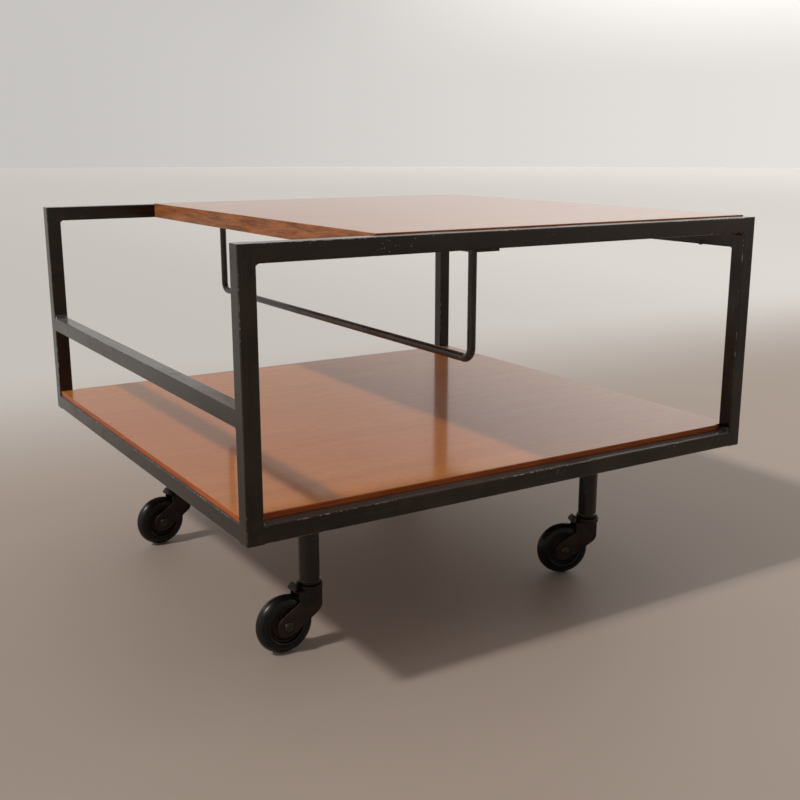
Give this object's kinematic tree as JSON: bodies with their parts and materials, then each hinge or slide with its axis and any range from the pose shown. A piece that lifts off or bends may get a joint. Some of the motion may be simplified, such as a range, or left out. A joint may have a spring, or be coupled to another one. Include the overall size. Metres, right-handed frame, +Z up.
{
  "type": "bar cart on wheels",
  "caption": "Low square bar cart: welded square-tube frame, thick top board, open bottle end with guard rail and rod, thin lower board, swivel casters.",
  "frame": {"origin": "centre of the plan at floor level, under the wheels", "axes": "+X runs along the front from the open bottle end to the board end, +Y goes from front to back, +Z is up"},
  "size_m": [0.81, 0.796, 0.567],
  "materials": {
    "frame_steel": "dark satin lacquer over steel",
    "weld_steel": "ground weld under dark lacquer",
    "rod_steel": "dark satin lacquer over round steel rod",
    "caster_steel": "dark brown patinated steel",
    "fork_steel": "reddish brown patinated pressed steel",
    "disc_steel": "reddish brown patinated pressed steel",
    "zinc": "tarnished plated steel",
    "bright_steel": "polished ball steel",
    "tyre_rubber": "smooth black rubber",
    "top_wood": "satin varnished warm brown veneer",
    "shelf_wood": "satin varnished orange brown veneer"
  },
  "bodies": {
    "frame": {"post_front_left": "frame_steel", "post_front_right": "frame_steel", "post_back_left": "frame_steel", "post_back_right": "frame_steel", "top_rail_front": "frame_steel", "top_rail_back": "frame_steel", "top_rail_right": "frame_steel", "guard_rail_left": "frame_steel", "bottom_rail_front": "frame_steel", "bottom_rail_back": "frame_steel", "bottom_rail_left": "frame_steel", "bottom_rail_right": "frame_steel", "caster_bar_left": "frame_steel", "caster_bar_right": "frame_steel", "post_caps": "frame_steel", "weld_fillets": "weld_steel", "bottle_rod": "rod_steel", "slab_tabs": "frame_steel", "top_slab": "top_wood", "lower_shelf": "shelf_wood", "top_screws": "zinc", "shelf_screws": "zinc", "stem_fl": "frame_steel", "upper_race_fl": "caster_steel", "kingpin_fl": "zinc", "stem_fr": "frame_steel", "upper_race_fr": "caster_steel", "kingpin_fr": "zinc", "stem_bl": "frame_steel", "upper_race_bl": "caster_steel", "kingpin_bl": "zinc", "stem_br": "frame_steel", "upper_race_br": "caster_steel", "kingpin_br": "zinc"},
    "swivel_fl": {"fork_fl": "fork_steel", "balls_fl": "bright_steel", "axle_bolt_fl": "zinc", "axle_nut_fl": "zinc"},
    "wheel_fl": {"wheel_disc_fl": "disc_steel", "tyre_fl": "tyre_rubber"},
    "swivel_fr": {"fork_fr": "fork_steel", "balls_fr": "bright_steel", "axle_bolt_fr": "zinc", "axle_nut_fr": "zinc"},
    "wheel_fr": {"wheel_disc_fr": "disc_steel", "tyre_fr": "tyre_rubber"},
    "swivel_bl": {"fork_bl": "fork_steel", "balls_bl": "bright_steel", "axle_bolt_bl": "zinc", "axle_nut_bl": "zinc"},
    "wheel_bl": {"wheel_disc_bl": "disc_steel", "tyre_bl": "tyre_rubber"},
    "swivel_br": {"fork_br": "fork_steel", "balls_br": "bright_steel", "axle_bolt_br": "zinc", "axle_nut_br": "zinc"},
    "wheel_br": {"wheel_disc_br": "disc_steel", "tyre_br": "tyre_rubber"}
  },
  "joints": [
    {"name": "swivel_fl", "type": "hinge", "parent": "frame", "child": "swivel_fl", "pos_m": [-0.248, -0.241, 0.09], "axis": [0, 0, 1], "continuous": true},
    {"name": "roll_fl", "type": "hinge", "parent": "swivel_fl", "child": "wheel_fl", "pos_m": [-0.28799, -0.2417, 0.041], "axis": [0.0175, -0.9998, 0], "continuous": true},
    {"name": "swivel_fr", "type": "hinge", "parent": "frame", "child": "swivel_fr", "pos_m": [0.248, -0.241, 0.09], "axis": [0, 0, 1], "continuous": true},
    {"name": "roll_fr", "type": "hinge", "parent": "swivel_fr", "child": "wheel_fr", "pos_m": [0.21066, -0.22667, 0.041], "axis": [-0.3584, -0.9336, 0], "continuous": true},
    {"name": "swivel_bl", "type": "hinge", "parent": "frame", "child": "swivel_bl", "pos_m": [-0.248, 0.241, 0.09], "axis": [0, 0, 1], "continuous": true},
    {"name": "roll_bl", "type": "hinge", "parent": "swivel_bl", "child": "wheel_bl", "pos_m": [-0.28785, 0.23751, 0.041], "axis": [0.0872, -0.9962, 0], "continuous": true},
    {"name": "swivel_br", "type": "hinge", "parent": "frame", "child": "swivel_br", "pos_m": [0.248, 0.241, 0.09], "axis": [0, 0, 1], "continuous": true},
    {"name": "roll_br", "type": "hinge", "parent": "swivel_br", "child": "wheel_br", "pos_m": [0.20861, 0.24795, 0.041], "axis": [-0.1736, -0.9848, 0], "continuous": true}
  ]
}
